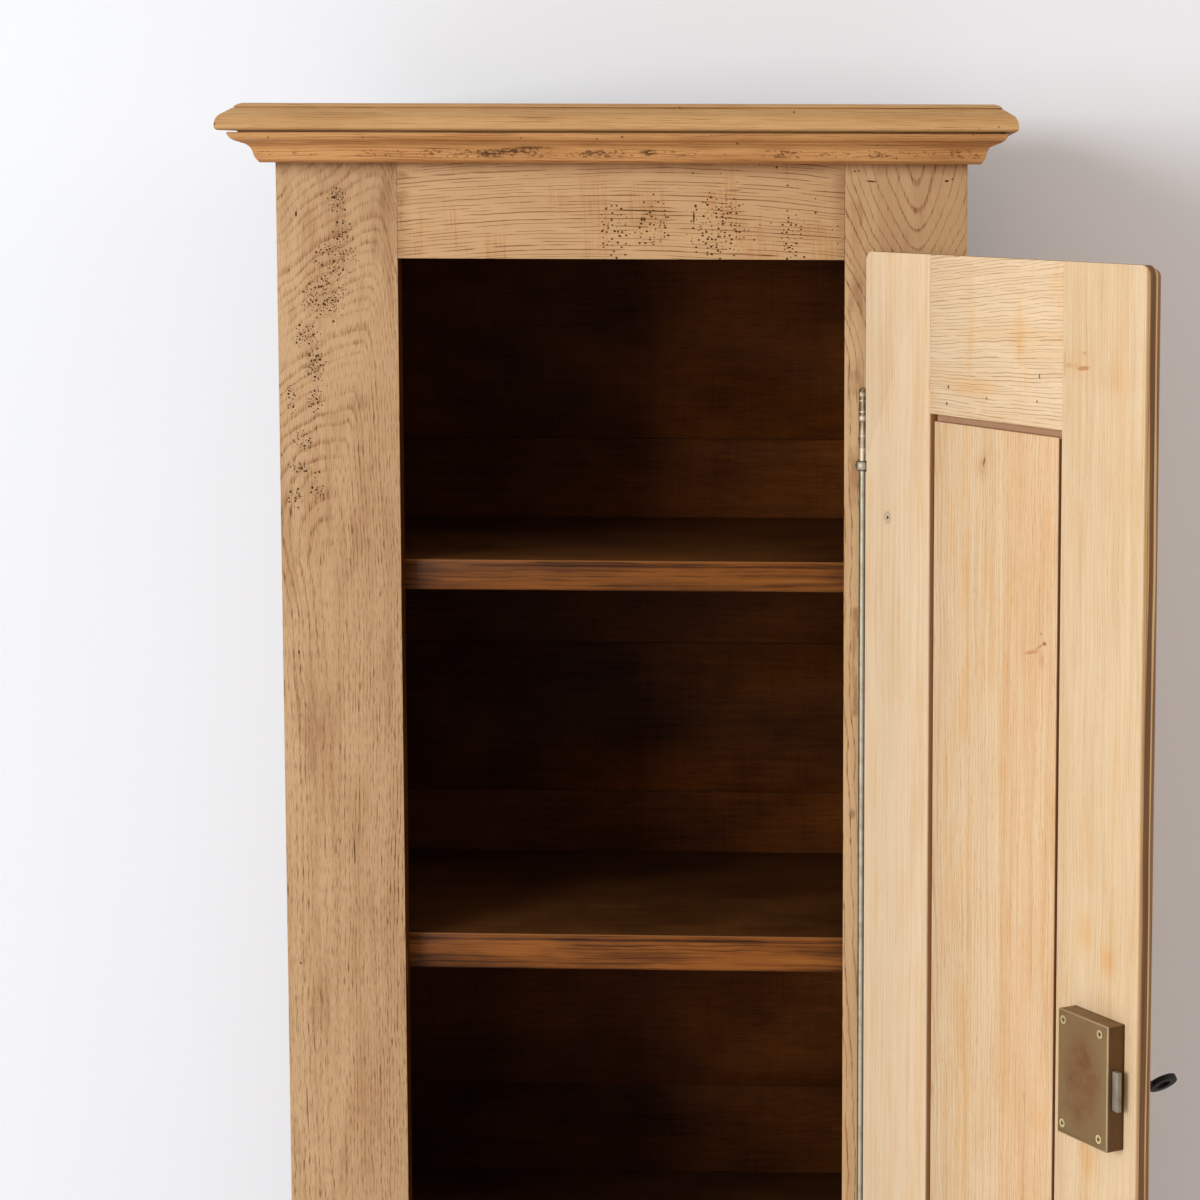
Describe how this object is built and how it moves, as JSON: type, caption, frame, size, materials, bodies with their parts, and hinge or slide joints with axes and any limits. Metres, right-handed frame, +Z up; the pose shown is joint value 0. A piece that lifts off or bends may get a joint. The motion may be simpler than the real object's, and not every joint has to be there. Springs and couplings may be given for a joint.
{
  "type": "linen cabinet",
  "caption": "Tall narrow oak linen cabinet with a moulded cornice, plank back, fixed shelves and a lapped panel door on a full-height rod hinge, with a lock and its key.",
  "frame": {"origin": "on the floor, midway between the sides, in the plane of the face frame's front", "axes": "+Z up, +X to the right seen from the front, +Y from the front to the back"},
  "size_m": [0.9354, 0.8399, 1.85],
  "materials": {
    "oak_face": "matt, weathered tan-brown oak with open grain",
    "oak_rail": "matt, paler tan oak with short dashes of grain",
    "oak_side": "matt, tan-brown oak",
    "oak_back": "satin, very dark brown stained boards",
    "oak_dark": "satin, dark brown stained oak",
    "oak_cornice": "matt, golden-brown oak",
    "oak_crown": "matt, golden-brown oak with worn edges",
    "oak_door": "matt, pale sanded oak",
    "steel": "worn bright steel",
    "old_brass": "brushed, darkened brass",
    "brass": "satin brass",
    "iron": "blackened iron"
  },
  "bodies": {
    "cabinet": {"face_stile_left": "oak_face", "face_stile_right": "oak_face", "face_rail_bottom": "oak_face", "face_rail_top": "oak_rail", "side_front_stile_left": "oak_side", "side_rear_stile_left": "oak_side", "side_top_rail_left": "oak_side", "side_middle_rail_left": "oak_side", "side_bottom_rail_left": "oak_side", "side_upper_panel_left": "oak_side", "side_lower_panel_left": "oak_side", "side_front_stile_right": "oak_side", "side_rear_stile_right": "oak_side", "side_top_rail_right": "oak_side", "side_middle_rail_right": "oak_side", "side_bottom_rail_right": "oak_side", "side_upper_panel_right": "oak_side", "side_lower_panel_right": "oak_side", "back_board_1": "oak_back", "back_board_2": "oak_back", "back_board_3": "oak_back", "back_board_4": "oak_back", "back_board_5": "oak_back", "back_board_6": "oak_back", "back_board_7": "oak_back", "back_board_8": "oak_back", "back_board_9": "oak_back", "back_board_10": "oak_back", "back_nails": "iron", "shelf_1": "oak_dark", "shelf_2": "oak_dark", "shelf_3": "oak_dark", "cabinet_floor": "oak_dark", "shelf_cleats_left": "oak_dark", "shelf_cleats_right": "oak_dark", "cornice_board": "oak_cornice", "crown_front": "oak_crown", "crown_left": "oak_crown", "crown_right": "oak_crown", "hinge_finial_top": "steel", "hinge_finial_bottom": "steel"},
    "door": {"door_hinge_stile": "oak_door", "door_lock_stile": "oak_door", "door_top_rail": "oak_door", "door_bottom_rail": "oak_door", "door_panel": "oak_door", "hinge_rod": "steel", "leaf_screws": "steel", "lock_case": "old_brass", "lock_sole": "old_brass", "lock_screws": "brass", "bolt_spring": "steel", "escutcheon": "brass", "escutcheon_nails": "brass"},
    "bolt": {"lock_bolt": "steel"},
    "key": {"key": "iron"}
  },
  "joints": [
    {"name": "door_swing", "type": "hinge", "parent": "cabinet", "child": "door", "pos_m": [0.2426, -0.002, 0.97225], "axis": [0, 0, 1], "range_deg": [-122.9, 7]},
    {"name": "key_turn", "type": "hinge", "parent": "door", "child": "key", "pos_m": [0.47789, -0.36847, 0.96225], "axis": [0.8396, 0.5432, 0], "range_deg": [-50, 310]},
    {"name": "bolt_throw", "type": "slide", "parent": "door", "child": "bolt", "axis": [0.5432, -0.8396, 0], "range_m": [-0.0019, 0.012]}
  ],
  "couplings": [
    {"joint": "key_turn", "follows": "bolt_throw", "rad_per_m": 450.87}
  ]
}
